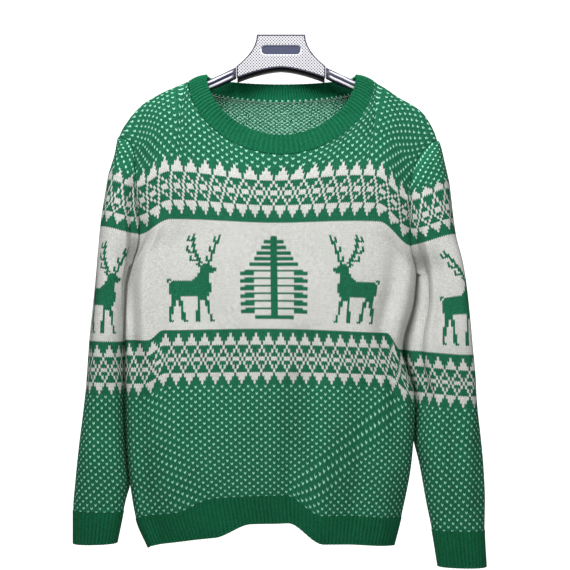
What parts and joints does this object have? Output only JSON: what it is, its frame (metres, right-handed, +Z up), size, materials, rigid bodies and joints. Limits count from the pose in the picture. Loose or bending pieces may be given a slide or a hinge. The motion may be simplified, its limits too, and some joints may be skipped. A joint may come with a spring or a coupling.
{
  "type": "sweater on hanger",
  "caption": "Knitted round-neck long-sleeve christmas sweater with ribbed neckband, hem and cuffs, hanging on a hanger with a flat centre plate and two slim arms.",
  "frame": {"origin": "middle of the hanger plate's top edge, where the hanger is held", "axes": "+X to the right as seen from the front, +Y from the front to the back, +Z up; left and right in names are as seen from the front"},
  "size_m": [0.5833, 0.1154, 0.749],
  "materials": {
    "jacquard_knit": "knitted acrylic yarn in green and white, matt with a soft fibre fuzz",
    "rib_knit": "one-by-one rib in green yarn, matt",
    "plated_shell": "bright plated plastic with a fine dark point pattern on the plate",
    "black_core": "black moulded plastic, slightly glossy"
  },
  "bodies": {
    "root": {"front": "jacquard_knit", "back": "jacquard_knit", "sleeve_left": "jacquard_knit", "sleeve_right": "jacquard_knit", "neckband": "rib_knit", "hem_rib_front": "rib_knit", "hem_rib_back": "rib_knit", "cuff_left": "rib_knit", "cuff_right": "rib_knit", "hanger_plate": "plated_shell", "hanger_core": "black_core", "hanger_arm_left": "plated_shell", "hanger_arm_right": "plated_shell"}
  },
  "joints": []
}
